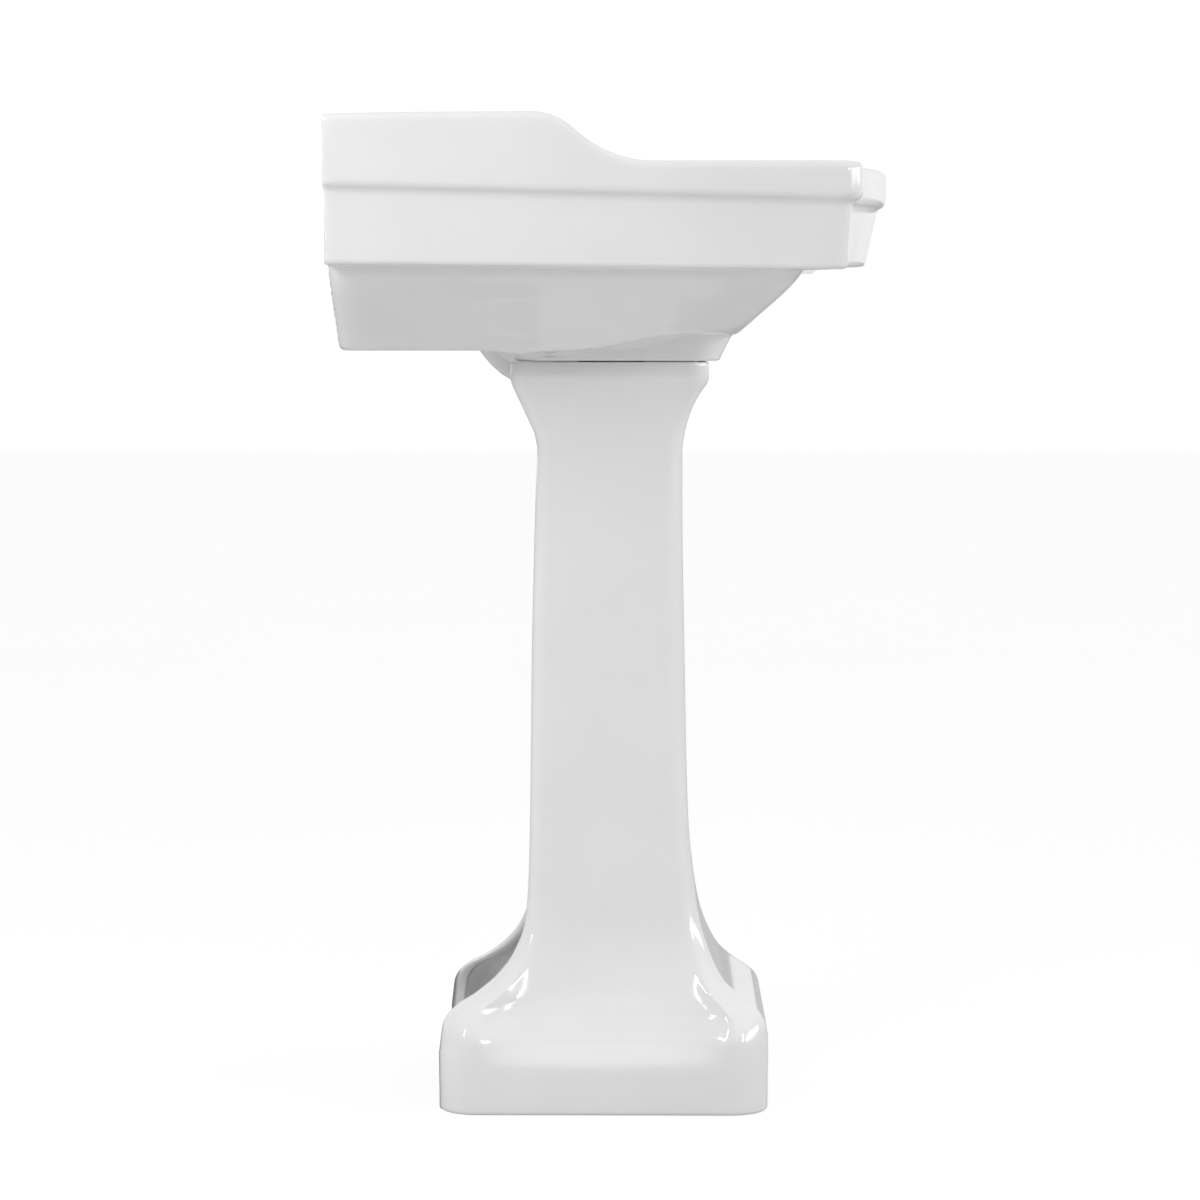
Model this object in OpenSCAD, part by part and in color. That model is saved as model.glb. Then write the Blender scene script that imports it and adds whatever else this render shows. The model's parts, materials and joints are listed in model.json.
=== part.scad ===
// Pedestal sink: a glazed china basin with a raised back deck, on a hollow column pedestal,
// with its push waste, overflow ring and the bottle trap that the column hides.
// Front faces -Y, the wall is at +Y, the floor is z = 0.

/* [Basin] */
// Width of the basin
basin_w = 610; // [590:5:630]
// Y of the wall face
wall_y = 246; // [244:1:250]
// Height of the rim above the floor
rim_z = 848; // [844:1:852]
// Height of the raised deck above the rim
deck_rise = 41; // [38:1:44]
// How far the flat part of the front is from the centre line
front_y = 208; // [204:1:212]
// How far the bowed middle stands out from the flat front
bow_rise = 38; // [20:1:40]
// Half the width of the bowed middle
bow_half = 165; // [150:5:180]
// Overhang of the upper band over the apron
band_step = 9; // [6:0.5:10]
// Radius of the plan corners at the front
corner_r = 18; // [14:1:24]
// Radius of the plan corners at the wall
back_r = 4; // [3:0.5:8]
// Wall thickness of the china
china_t = 13; // [11:0.5:14]

/* [Bowl] */
// Half the width of the bowl at the rim
bowl_half_w = 222; // [205:1:228]
// Distance from the centre line to the front of the bowl
bowl_front = 190; // [184:1:192]
// Distance from the centre line to the back of the bowl
bowl_back = 128; // [120:1:130]
// Y of the drain's axis
drain_y = 12; // [8:1:14]
// Height of the bowl's floor
bowl_floor_z = 666; // [664:1:668]
// Radius of the drain hole
drain_r = 22.5; // [22.5:0.5:23.5]

/* [Deck holes] */
// Radius of a faucet hole
faucet_r = 17.5; // [16:0.5:18]
// Distance from the middle hole to each outer hole
faucet_pitch = 101.6; // [95:0.1:105]
// Y of the faucet holes
faucet_y = 190; // [186:1:194]
// Distance between the two wall bolts
wall_bolt_pitch = 280; // [260:5:300]
// Height of the wall bolts
wall_bolt_z = 812; // [806:1:820]
// Radius of a wall-bolt hole in the china
wall_hole_r = 8; // [7.5:0.25:9]

/* [Pedestal] */
// Height of the pedestal
pedestal_h = 676; // [674:1:676]
// Wall thickness of the pedestal
pedestal_t = 12; // [10:0.5:13]
// Radius of the column's corners
column_r = 14; // [13:0.5:16]
// Width of each lip beside the open back
lip_w = 26; // [24:1:30]
// How much larger the foot's corner radius is than the column's
foot_round = 20; // [16:1:24]
// Distance from the centre line to each floor hole
floor_hole_x = 112; // [108:1:114]
// Y of the floor holes
floor_hole_y = 30; // [20:2:40]
// Radius of a floor hole
floor_hole_r = 4.5; // [4:0.25:5]

/* [Waste and trap] */
// Outer radius of the waste body
waste_r = 20.5; // [20:0.25:21]
// Outer radius of the tailpiece
tail_r = 16; // [15.9:0.05:16]
// Clearance between parts that screw or slide together
gap = 0.1; // [0.1:0.05:0.2]
// Radius of the stopper's cap
stopper_r = 30; // [28:0.5:31]
// Outer radius of the bottle trap
trap_r = 28; // [26:0.5:29]
// Height of the top of the trap's bottle
trap_top_z = 470; // [460:5:475]

/* [Hidden] */
$fn = 64;

eps = 0.01;
half_w = basin_w / 2;
deck_z = rim_z + deck_rise;
china_white = [0.95, 0.95, 0.95];

// Swoop from the deck down to the rim: an arc, a straight and an arc
swoop_y = 71;
swoop_a = 40.8;
swoop_r1 = 52.5;
swoop_r2 = 96;
swoop_l = (deck_rise - (swoop_r1 + swoop_r2) * (1 - cos(swoop_a))) / sin(swoop_a);
swoop_end = swoop_y - (swoop_r1 + swoop_r2) * sin(swoop_a) - swoop_l * cos(swoop_a);

// Underside of the band and of the apron, at the wall and at the front
band_back_z = 826.5;
band_front_z = 815;
apron_z = 759;
ledge_z = 757;

// Body under the apron: height, half width and front of its outer skin
skirt = [
    [687, 160, 100],
    [700, 176, 108],
    [720, 212, 128],
    [740, 243, 148],
    [ledge_z + eps, 265, 161]
];
seat_z = pedestal_h + 0.8;

// Collar that stands on the pedestal: height, half width, front, back and corner radius
collar = [
    [seat_z, 92, 84, 88, 24],
    [seat_z + 4, 100, 94, 94, 26],
    [700, 106, 104, 98, 28]
];

// Boss round the drain, recess for the flange, opening under the deck and notch at the wall
boss_z = 640;
boss_r = 38;
recess_r = 33;
well_front = 100;
notch_w = 200;
notch_top = 752;

// Heights in the waste, from the stopper's stem down to the tailpiece
stem_r = 4.4;
seal_t = 1.2;
body_z = 596;
body_top_z = 664;
nut_z = 618;
nut_h = 12;
washer_z = nut_z + nut_h;
slip_t = 2;
mech_z = 630;
tail_z = 400;
tail_top_z = 608;

// Bottle trap: wall, bottle, cup and outlet branch
trap_t = 2.5;
neck_r = 20;
neck_h = 14;
bottle_z = 396;
cup_z = 374;
cup_seal_t = 4;
branch_z = 448;
branch_r = 19;
branch_l = trap_r + 16;
nut_depth = 17;
slip_nut_h = 20;
washer_t = 5.8;

// Overflow way: outside radius and centre of the rib, then the path of the duct inside it
rib = [[17, 150, 818], [20, 144, 741], [25, 93, 680]];
duct = [[150, 818], [146, 741], [97, 668], [drain_y + 8, 652]];
duct_r = 6.5;
overflow_r = 11;
overflow_z = 818;

// ---- Plan outlines ----

// One plan corner as n + 1 points, from angle a
function corner(x, y, r, a, n) =
    [for (i = [0:n]) let (turn = a + 90 * i / n) [x + r * cos(turn), y + r * sin(turn)]];

// Points strictly between two points
function between(p, q, n) = [for (i = [1:n - 1]) p + (q - p) * i / n];

// How far the bowed front stands out at x
function bow(x, rise, half) =
    let (r = (half * half + rise * rise) / (2 * max(rise, eps)))
    abs(x) >= half ? 0 : sqrt(r * r - x * x) - (r - rise);

// Rounded rectangle around x = 0, anticlockwise, with corners r at the front and rb at the back,
// and an optional bowed front
function plan(w, front, back, r, rb, rise = 0, arc = 6) =
    let (
        fr = corner(w - r, r - front, r, -90, arc),
        br = corner(w - rb, back - rb, rb, 0, arc),
        bl = corner(rb - w, back - rb, rb, 90, arc),
        fl = corner(r - w, r - front, r, 180, arc),
        face = between(fl[arc], fr[0], 22)
    )
    concat(fr, between(fr[arc], br[0], 4), br, between(br[arc], bl[0], 4), bl,
        between(bl[arc], fl[0], 4), fl, [for (p = face) [p.x, p.y - bow(p.x, rise, bow_half)]]);

function at(ring, z) = [for (p = ring) [p.x, p.y, z]];

// Solid skin over a stack of rings that have equal numbers of points
module loft(rings) {
    n = len(rings[0]);
    m = len(rings);
    walls = [for (j = [0:m - 2], i = [0:n - 1])
        let (a = j * n + i, b = j * n + (i + 1) % n)
        each [[a, a + n, b + n], [a, b + n, b]]];
    polyhedron(
        points = [for (ring = rings) each ring],
        faces = concat(walls, [[for (i = [0:n - 1]) i]], [[for (i = [n - 1:-1:0]) (m - 1) * n + i]])
    );
}

// ---- Basin ----

// Upper edge of the basin seen from the side, from the wall to the front
function top_edge(drop = 0) = concat(
    [[wall_y + 1, deck_z - drop]],
    [for (i = [0:6]) let (a = swoop_a * i / 6)
        [swoop_y - swoop_r1 * sin(a), deck_z - drop - swoop_r1 * (1 - cos(a))]],
    [for (i = [8:-1:0]) let (a = swoop_a * i / 8)
        [swoop_end + swoop_r2 * sin(a), rim_z - drop + swoop_r2 * (1 - cos(a))]],
    [[-front_y - bow_rise - 1, rim_z - drop]]
);

// Prism across the basin's whole width, of a side view
module across(outline) {
    rotate([90, 0, 90])
        translate([0, 0, -half_w - 1])
            linear_extrude(basin_w + 2) polygon(outline);
}

module band() {
    ring = plan(half_w, front_y, wall_y, corner_r, back_r, bow_rise);
    intersection() {
        linear_extrude(deck_z + 1) polygon(ring);
        across(concat(top_edge(), [[-front_y - bow_rise - 1, band_front_z], [wall_y + 1, band_back_z]]));
    }
}

module apron() {
    lean = 3;
    low = band_step + lean;
    top = band_step;
    r = corner_r - 4;
    loft([
        at(plan(half_w - low, front_y - low, wall_y, r, back_r, bow_rise - 5), apron_z),
        at(plan(half_w - top, front_y - top, wall_y, r, back_r, bow_rise), band_back_z + 2)
    ]);
}

module skirt_body() {
    loft(concat(
        [for (s = skirt) at(plan(s[1], s[2], wall_y, 40, 20), s[0])],
        [at(plan(skirt[4][1], skirt[4][2], wall_y, 40, 20), apron_z + 2)]
    ));
}

module seat() {
    loft([for (s = collar) at(plan(s[1], s[2], s[3], s[4], s[4]), s[0])]);
}

// Bowl section at height z; grow thickens it into the bowl's outer wall
function bowl_ring(z, grow) =
    let (
        depth = rim_z - bowl_floor_z + grow,
        u = min(max((rim_z - z) / depth, 0), 0.985),
        p = grow > 0 ? 1.6 : 1.7,
        slope = pow(1 - pow(u, p), 1 / p),
        front = (bowl_front + drain_y + 0.7 * grow) * slope - drain_y,
        back = (bowl_back - drain_y + grow) * pow(1 - pow(u, 3.2), 1 / 3.2) + drain_y,
        w = (bowl_half_w + grow) * slope,
        r = min(w, (front + back) / 2) * (0.6 + 0.36 * u * u)
    )
    at(plan(w, front, back, r, r), z);

module bowl(grow, top) {
    low = bowl_floor_z - grow;
    loft(concat(
        [for (i = [0:12]) bowl_ring(low + (rim_z - low) * pow(i / 12, 1.8) + eps, grow)],
        [bowl_ring(top, grow)]
    ));
}

// Space between the bowl and the outer walls, open below behind the pedestal
module hollow() {
    t = china_t;
    back = wall_y - t;
    inner_w = half_w - band_step - t;
    inner_front = front_y - band_step - t;
    intersection() {
        loft(concat(
            [for (i = [1:3]) at(plan(skirt[i][1] - t, skirt[i][2] - t, back, 30, 14), skirt[i][0] + 2)],
            [at(plan(skirt[4][1] - t, skirt[4][2] - t, back, 30, 14), ledge_z + t - 4)],
            [for (z = [apron_z + t, deck_z]) at(plan(inner_w, inner_front, back, 14, 10), z)]
        ));
        across(concat(top_edge(t + 1), [[-front_y - bow_rise, 0], [wall_y, 0]]));
    }
    hull()
        for (well = [[skirt[0][1] - t, skirt[0][0] - 1], [skirt[1][1] - t, skirt[1][0] + 3]])
            translate([-well[0], well_front, well[1]]) cube([2 * well[0], back - well_front, eps]);
}

module overflow_rib() {
    for (i = [0:1])
        hull() {
            translate([0, rib[i][1], rib[i][2]]) sphere(rib[i][0], $fn = 24);
            translate([0, rib[i + 1][1], rib[i + 1][2]]) sphere(rib[i + 1][0], $fn = 24);
        }
    hull() {
        translate([0, rib[2][1], rib[2][2]]) sphere(rib[2][0], $fn = 24);
        translate([0, drain_y + 20, boss_z + 16]) sphere(16, $fn = 24);
    }
}

module basin_china() {
    difference() {
        union() {
            difference() {
                union() {
                    band();
                    apron();
                    skirt_body();
                }
                hollow();
                translate([-notch_w / 2, wall_y - 40, 600]) cube([notch_w, 60, notch_top - 600]);
            }
            intersection() {
                bowl(china_t, deck_z);
                across(concat(top_edge(), [[-front_y - bow_rise, 0], [wall_y, 0]]));
            }
            seat();
            translate([0, drain_y, boss_z]) cylinder(r = boss_r, h = 40, $fn = 48);
            overflow_rib();
        }
        bowl(0, deck_z + 5);
    }
}

module basin() {
    color(china_white)
        difference() {
            resize([0, 0, 0]) basin_china();
            translate([0, drain_y, boss_z - 1]) cylinder(r = drain_r, h = 60);
            translate([0, drain_y, bowl_floor_z]) cylinder(r = recess_r, h = 20);
            for (i = [-1:1])
                translate([i * faucet_pitch, faucet_y, deck_z - 40]) cylinder(r = faucet_r, h = 60);
            for (s = [-1, 1])
                translate([s * wall_bolt_pitch / 2, wall_y - 40, wall_bolt_z])
                    rotate([-90, 0, 0]) cylinder(r = wall_hole_r, h = 60);
            translate([0, bowl_back - 20, overflow_z])
                rotate([-90, 0, 0]) cylinder(r = overflow_r, h = duct[0].x - bowl_back + 20);
            for (i = [0:2]) duct_run(duct[i], duct[i + 1]);
        }
}

// One straight run of the overflow duct, in the plane x = 0, with a round end
module duct_run(p, q) {
    run = q - p;
    translate([0, p.x, p.y]) {
        sphere(duct_r);
        rotate([-atan2(run.y, run.x) - 90 + 180, 0, 0]) cylinder(r = duct_r, h = norm(run));
    }
}

module overflow_ring() {
    color("silver")
        translate([0, bowl_back + 1, overflow_z])
            rotate([-90, 0, 0])
                rotate_extrude()
                    polygon([[8.6, -3.4], [12, -4.2], [15.2, -3], [15.6, -1.6], [overflow_r - gap, -1.6],
                        [overflow_r - gap, 9], [9.4, 9], [9.2, -1.6]]);
}

// Plastic sleeves that line the wall-bolt holes, with a flange inside
module wall_bushings() {
    color("gainsboro")
        for (s = [-1, 1])
            translate([s * wall_bolt_pitch / 2, wall_y, wall_bolt_z])
                rotate([90, 0, 0])
                    difference() {
                        union() {
                            cylinder(r = wall_hole_r - gap, h = china_t + 2);
                            translate([0, 0, china_t + gap]) cylinder(r = 14, h = 3);
                        }
                        translate([0, 0, -1]) cylinder(r = 5.5, h = 40);
                    }
}

// ---- Pedestal ----

// Height, front, back and half width of the outer skin, from the floor up, and how far the
// middle of each side face lies inside its corners
stance = [
    [0, 137, 160.5, 145, 0],
    [38, 137.3, 160.9, 145, 0],
    [44, 137.5, 161, 145, 1],
    [50, 137.5, 161, 145, 4.5],
    [57, 137.4, 160.4, 144.8, 11],
    [64, 137.3, 159.5, 144, 16.5],
    [75, 136, 158, 139.5, 21],
    [84, 132, 154, 133.5, 22],
    [93, 122, 145, 126.5, 21],
    [102, 109.5, 129, 118.5, 19],
    [116, 96, 110.5, 106.5, 13.5],
    [135, 86, 95, 93.5, 7.5],
    [158, 78, 85.5, 84, 3.5],
    [195, 71.5, 81.5, 78, 0.8],
    [266, 65, 79.6, 76, 0],
    [400, 61.8, 78, 75, 0],
    [560, 59.3, 74, 74.5, 0],
    [594, 59.3, 72.7, 74.5, 0],
    [610, 61.2, 75, 76.5, 0],
    [624, 64.6, 81, 80.5, 0],
    [638, 69.9, 87.2, 86, 0],
    [650, 76.8, 92.6, 92, 0],
    [658, 82, 95.6, 96.5, 0],
    [664, 83.2, 96.2, 98, 0],
    [pedestal_h, 83.2, 96.2, 98, 0]
];

// The C-shaped section at one height: the outer or the inner skin, lip to lip
function c_skin(s, t) =
    let (
        w = s[3] - t,
        f = -s[1] + t,
        b = s[2] - t,
        spread = (s[3] - 75) / 70,
        r = column_r + foot_round * spread * spread - t * (1 + spread) / 2,
        lip = s[3] - lip_w,
        bl = corner(r - w, b - r, r, 90, 5),
        fl = corner(r - w, f + r, r, 180, 5),
        fr = corner(w - r, f + r, r, -90, 5),
        br = corner(w - r, b - r, r, 0, 5)
    )
    [for (p = concat([[-lip, b]], bl, swept(bl[5], fl[0], s[4], 1), fl,
        fr, swept(fr[5], br[0], s[4], -1), br, [[lip, b]]))
        [p.x, p.y, s[0]]];

// Points between two corners of a side face, pulled in by up to dip, most of it soon after the corner
function swept(p, q, dip, side) =
    [for (i = [1:7])
        let (u = i / 8, pull = dip * (1 - pow(abs(2 * u - 1), 3)))
        p + (q - p) * u + [side * pull, 0]];

// Shell between the two skins, closed at the lips, the floor and the top
module c_shell(rows) {
    outer = [for (s = rows) c_skin(s, 0)];
    inner = [for (s = rows) c_skin(s, pedestal_t)];
    n = len(outer[0]);
    m = len(rows);
    loop = [for (j = [0:m - 1]) concat(outer[j], [for (i = [n - 1:-1:0]) inner[j][i]])];
    k = 2 * n;
    walls = [for (j = [0:m - 2], i = [0:k - 1])
        let (a = j * k + i, b = j * k + (i + 1) % k)
        each [[a, a + k, b + k], [a, b + k, b]]];
    ends = [for (i = [0:n - 2])
        let (o = i, p = i + 1, q = k - 2 - i, r = k - 1 - i, u = (m - 1) * k)
        each [[o, p, q], [o, q, r], [o + u, q + u, p + u], [o + u, r + u, q + u]]];
    polyhedron(points = [for (ring = loop) each ring], faces = concat(walls, ends));
}

// Size of the lug inside the foot that a floor screw goes through
lug = [36, 40, 12];

module foot_lug(side) {
    translate([side * (floor_hole_x + lug[0] / 2 - 11), floor_hole_y, lug[2] / 2]) cube(lug, center = true);
}

module pedestal() {
    color(china_white)
        difference() {
            resize([0, 0, 0])
                union() {
                    c_shell(stance);
                    for (s = [-1, 1]) foot_lug(s);
                }
            for (s = [-1, 1])
                translate([s * floor_hole_x, floor_hole_y, -1]) cylinder(r = floor_hole_r, h = 20);
        }
}

// Thin soft strips that the basin rests on
module seat_pads() {
    t = seat_z - pedestal_h;
    color("dimgray") {
        for (s = [-1, 1])
            translate([s * 89 - 2.5, -25, pedestal_h]) cube([5, 60, t]);
        translate([-30, -81, pedestal_h]) cube([60, 6, t]);
    }
}

// ---- Waste ----

module on_drain(z = 0) {
    translate([0, drain_y, z]) children();
}

// Ring between two radii
module ring(r_out, r_in, h) {
    rotate_extrude() translate([r_in, 0]) square([r_out - r_in, h]);
}

module waste_flange() {
    color("silver")
        on_drain(bowl_floor_z)
            rotate_extrude()
                polygon([[15, -12], [17, -12], [17, seal_t], [32, seal_t], [32, 2], [30, 3], [20, 3.4],
                    [16.4, 1.4], [15, -2]]);
}

module flange_seal() {
    color("white") on_drain(bowl_floor_z) ring(30, 23, seal_t);
}

// Threaded lower tube of the waste, with the two overflow ports
module waste_body() {
    port_z = duct[3].y - body_z;
    color("silver")
        on_drain(body_z)
            difference() {
                cylinder(r = waste_r, h = body_top_z - body_z);
                translate([0, 0, 16]) cylinder(r = 17 + gap, h = 60);
                translate([0, 0, -1]) cylinder(r = 14.5, h = 20);
                translate([0, 0, -1]) cylinder(r = tail_r + gap, h = tail_top_z - body_z + 2);
                translate([0, 0, port_z]) rotate([90, 0, 0]) cylinder(r = 5, h = 60, center = true);
            }
}

module basin_washer() {
    bore = waste_r + gap;
    h = boss_z - washer_z - slip_t;
    color("dimgray")
        on_drain(washer_z + slip_t)
            rotate_extrude() polygon([[bore, 0], [31, 0], [31, h / 2], [26, h], [bore, h]]);
}

module slip_washer() {
    color("white") on_drain(washer_z) ring(30, waste_r + gap, slip_t);
}

module waste_locknut() {
    color("gold")
        on_drain(nut_z)
            difference() {
                cylinder(r = 31, h = nut_h, $fn = 6);
                translate([0, 0, -1]) cylinder(r = waste_r + gap, h = nut_h + 2);
            }
}

// Push mechanism: a barrel on the spokes of a ring that clips into the waste body
module cartridge() {
    color("white")
        on_drain(mech_z)
            difference() {
                union() {
                    cylinder(r = 7, h = 18);
                    translate([0, 0, 2]) ring(17, 15, 6);
                    for (a = [0:60:120])
                        rotate([0, 0, a]) translate([-16, -1.2, 3]) cube([32, 2.4, 4]);
                }
                translate([0, 0, 2]) cylinder(r = stem_r + 0.08, h = 20);
            }
}

// Cap and stem of the push stopper, shut
module stopper() {
    r = stopper_r;
    color("silver")
        on_drain(bowl_floor_z)
            rotate_extrude()
                polygon([[0, -32], [stem_r, -32], [stem_r, 3.8], [r - 2, 3.8], [r, 5], [r, 6.2],
                    [r - 3, 8], [r / 2, 9.6], [0, 10]]);
}

module stopper_seal() {
    color("dimgray") on_drain(bowl_floor_z + 2.3) ring(16, stem_r, 1.5);
}

module tailpiece() {
    color("silver") on_drain(tail_z) ring(tail_r, tail_r - 1.2, tail_top_z - tail_z);
}

// ---- Bottle trap ----

// Nut with grip ribs and a stepped bore
module slip_nut(r_out, r_thread) {
    difference() {
        union() {
            cylinder(r = r_out, h = slip_nut_h);
            for (a = [0:45:315])
                rotate([0, 0, a]) translate([r_out, 0, 0]) cylinder(r = 1.6, h = slip_nut_h);
        }
        translate([0, 0, -1]) cylinder(r = r_thread, h = nut_depth);
        translate([0, 0, -1]) cylinder(r = tail_r + 0.6, h = slip_nut_h + 2);
    }
}

module trap_inlet_nut() {
    z = trap_top_z + neck_h + washer_t + 1 - nut_depth;
    color("silver") on_drain(z) slip_nut(24, neck_r + gap);
}

module trap_inlet_washer() {
    bore = tail_r + gap;
    color("dimgray")
        on_drain(trap_top_z + neck_h)
            rotate_extrude() polygon([[bore, 0], [19.8, 0], [19.8, 3], [18.4, washer_t], [bore, washer_t]]);
}

module trap_body() {
    shoulder_z = trap_top_z - 6;
    color("silver")
        on_drain()
            difference() {
                union() {
                    translate([0, 0, bottle_z]) cylinder(r = trap_r, h = shoulder_z - bottle_z);
                    translate([0, 0, shoulder_z]) cylinder(r1 = trap_r, r2 = neck_r, h = 6);
                    translate([0, 0, shoulder_z]) cylinder(r = neck_r, h = 6 + neck_h);
                    translate([0, 0, branch_z]) rotate([-90, 0, 0]) cylinder(r = branch_r, h = branch_l);
                }
                translate([0, 0, bottle_z - 1])
                    cylinder(r = trap_r - trap_t, h = shoulder_z - bottle_z - trap_t);
                translate([0, 0, bottle_z]) cylinder(r = tail_r + gap, h = 120);
                translate([0, trap_t + tail_r, branch_z])
                    rotate([-90, 0, 0]) cylinder(r = tail_r + gap, h = branch_l);
            }
}

// Cleaning cup with grip ribs
module trap_cup() {
    h = bottle_z - cup_seal_t - cup_z;
    color("silver")
        on_drain(cup_z)
            difference() {
                union() {
                    cylinder(r = trap_r + 3, h = h);
                    for (a = [0:30:330])
                        rotate([0, 0, a]) translate([trap_r + 3, 0, 3]) cylinder(r = 1.5, h = h - 6);
                }
                translate([0, 0, 4]) cylinder(r = trap_r - trap_t, h = h);
            }
}

module trap_cup_seal() {
    color("dimgray") on_drain(bottle_z - cup_seal_t) ring(trap_r, trap_r - trap_t, cup_seal_t);
}

module trap_outlet_nut() {
    y = drain_y + branch_l + washer_t + 1 - nut_depth;
    color("silver") translate([0, y, branch_z]) rotate([-90, 0, 0]) slip_nut(23, branch_r + gap);
}

module trap_outlet_washer() {
    color("dimgray")
        translate([0, drain_y + branch_l, branch_z])
            rotate([-90, 0, 0]) ring(18.8, tail_r + gap, washer_t);
}

basin();
pedestal();
seat_pads();
wall_bushings();
overflow_ring();
waste_flange();
flange_seal();
waste_body();
basin_washer();
slip_washer();
waste_locknut();
cartridge();
stopper();
stopper_seal();
tailpiece();
trap_inlet_nut();
trap_inlet_washer();
trap_body();
trap_cup();
trap_cup_seal();
trap_outlet_nut();
trap_outlet_washer();
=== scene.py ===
import json
import math

import bmesh
import bpy
import numpy as np
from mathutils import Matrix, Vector


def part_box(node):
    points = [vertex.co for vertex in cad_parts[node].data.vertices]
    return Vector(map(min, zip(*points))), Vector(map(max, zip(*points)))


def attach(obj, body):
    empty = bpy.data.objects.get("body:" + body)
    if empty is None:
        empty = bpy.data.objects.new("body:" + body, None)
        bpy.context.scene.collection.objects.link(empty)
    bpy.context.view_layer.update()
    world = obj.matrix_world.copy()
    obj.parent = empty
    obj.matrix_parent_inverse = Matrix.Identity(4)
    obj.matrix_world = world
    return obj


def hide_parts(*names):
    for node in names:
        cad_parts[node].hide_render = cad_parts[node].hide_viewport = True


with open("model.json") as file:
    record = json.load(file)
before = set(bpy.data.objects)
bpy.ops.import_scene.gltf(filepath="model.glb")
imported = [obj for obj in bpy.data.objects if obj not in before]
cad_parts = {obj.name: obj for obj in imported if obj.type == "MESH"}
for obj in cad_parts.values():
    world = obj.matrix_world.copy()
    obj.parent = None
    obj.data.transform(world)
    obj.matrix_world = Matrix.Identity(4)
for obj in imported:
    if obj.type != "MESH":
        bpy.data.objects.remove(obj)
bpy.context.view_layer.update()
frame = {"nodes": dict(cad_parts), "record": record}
MM = 0.001


def span(node):
    """Lowest and highest corner of a CAD node in millimetres."""
    lo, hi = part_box(node)
    return np.array(lo) / MM, np.array(hi) / MM


mounts = {m["name"]: m for m in frame["record"]["mounts"]}
basin_lo, basin_hi = span("basin")
_, foot_hi = span("pedestal")
flange_lo, flange_hi = span("waste_flange")
ring_lo, ring_hi = span("overflow_ring")
_, boss_hi = span("basin_washer")

# ---- Sizes in millimetres ----
HALF_W = basin_hi[0]
WALL_Y = basin_hi[1]
DECK_Z = basin_hi[2]
BOW_RISE, BOW_HALF = 38.0, 165.0
FRONT_Y = -basin_lo[1] - BOW_RISE
RIM_DROP = 41
RIM_Z = DECK_Z - RIM_DROP
DRAIN_Y = (flange_lo[1] + flange_hi[1]) / 2
BOWL_FLOOR = flange_hi[2] - 3.4
BOSS_Z = boss_hi[2]
CHINA = 13.0
BOWL_W, BOWL_F, BOWL_B = 222.0, 190.0, 128.0
PAD = 0.8
SEAT_Z = foot_hi[2] + PAD
FRONT_ROUND, BACK_ROUND = 18.0, 4.0


# ---- Mesh helpers ----
def make(name, verts, faces):
    """A mesh object from points in millimetres."""
    me = bpy.data.meshes.new(name)
    me.from_pydata([tuple(v) for v in np.asarray(verts, float) * MM], [], [tuple(f) for f in faces])
    me.validate()
    ob = bpy.data.objects.new(name, me)
    bpy.context.scene.collection.objects.link(ob)
    return ob


def loft(rings, cap=True, wrap=False):
    """Points and faces of a skin over rings of equal length, with ends capped or joined to each other."""
    n = len(rings[0])
    verts = np.concatenate(rings)
    faces = []
    pairs = [(j, j + 1) for j in range(len(rings) - 1)] + ([(len(rings) - 1, 0)] if wrap else [])
    for a, b in pairs:
        for i in range(n):
            k = (i + 1) % n
            faces.append((a * n + i, a * n + k, b * n + k, b * n + i))
    if cap and not wrap:
        first, last = verts[:n].mean(axis=0), verts[-n:].mean(axis=0)
        verts = np.concatenate([verts, [first, last]])
        c0, c1 = len(verts) - 2, len(verts) - 1
        base = (len(rings) - 1) * n
        for i in range(n):
            k = (i + 1) % n
            faces.append((c0, k, i))
            faces.append((c1, base + i, base + k))
    return verts, faces


def outward(ob):
    """Turns the faces outward."""
    bm = bmesh.new()
    bm.from_mesh(ob.data)
    bmesh.ops.remove_doubles(bm, verts=bm.verts, dist=1e-7)
    bmesh.ops.recalc_face_normals(bm, faces=bm.faces)
    bm.to_mesh(ob.data)
    bm.free()
    return ob


def smooth(ob, degrees):
    """Soft shading across edges flatter than the given angle."""
    ob.data.shade_smooth()
    ob.data.set_sharp_from_angle(angle=math.radians(degrees))
    return ob


def largest_shell(me):
    """Keeps the biggest connected part of a mesh, since a cut can leave a loose sliver behind."""
    bm = bmesh.new()
    bm.from_mesh(me)
    shells, seen = [], set()
    for start in bm.verts:
        if start in seen:
            continue
        seen.add(start)
        shell, todo = [], [start]
        while todo:
            v = todo.pop()
            shell.append(v)
            for other in (e.other_vert(v) for e in v.link_edges):
                if other not in seen:
                    seen.add(other)
                    todo.append(other)
        shells.append(shell)
    shells.sort(key=len)
    bmesh.ops.delete(bm, geom=[v for shell in shells[:-1] for v in shell], context="VERTS")
    bm.to_mesh(me)
    bm.free()


def carve(ob, steps):
    """Joins or cuts meshes into ob for good: steps are (operation, tool object)."""
    for op, tool in steps:
        m = ob.modifiers.new("step", "BOOLEAN")
        m.operation = op
        m.solver = "MANIFOLD"
        m.object = tool
    bpy.context.view_layer.update()
    done = bpy.data.meshes.new_from_object(ob.evaluated_get(bpy.context.evaluated_depsgraph_get()))
    ob.modifiers.clear()
    largest_shell(done)
    ob.data = done
    for _, tool in steps:
        bpy.data.objects.remove(tool)
    return ob


def smoothstep(t):
    """Runs from 0 to 1 with level ends."""
    t = np.clip(t, 0, 1)
    return t * t * (3 - 2 * t)


# ---- Plan outlines of the basin, sampled along rays from the drain's axis ----
FINE = 400


BOW_BLEND = 3.0


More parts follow.
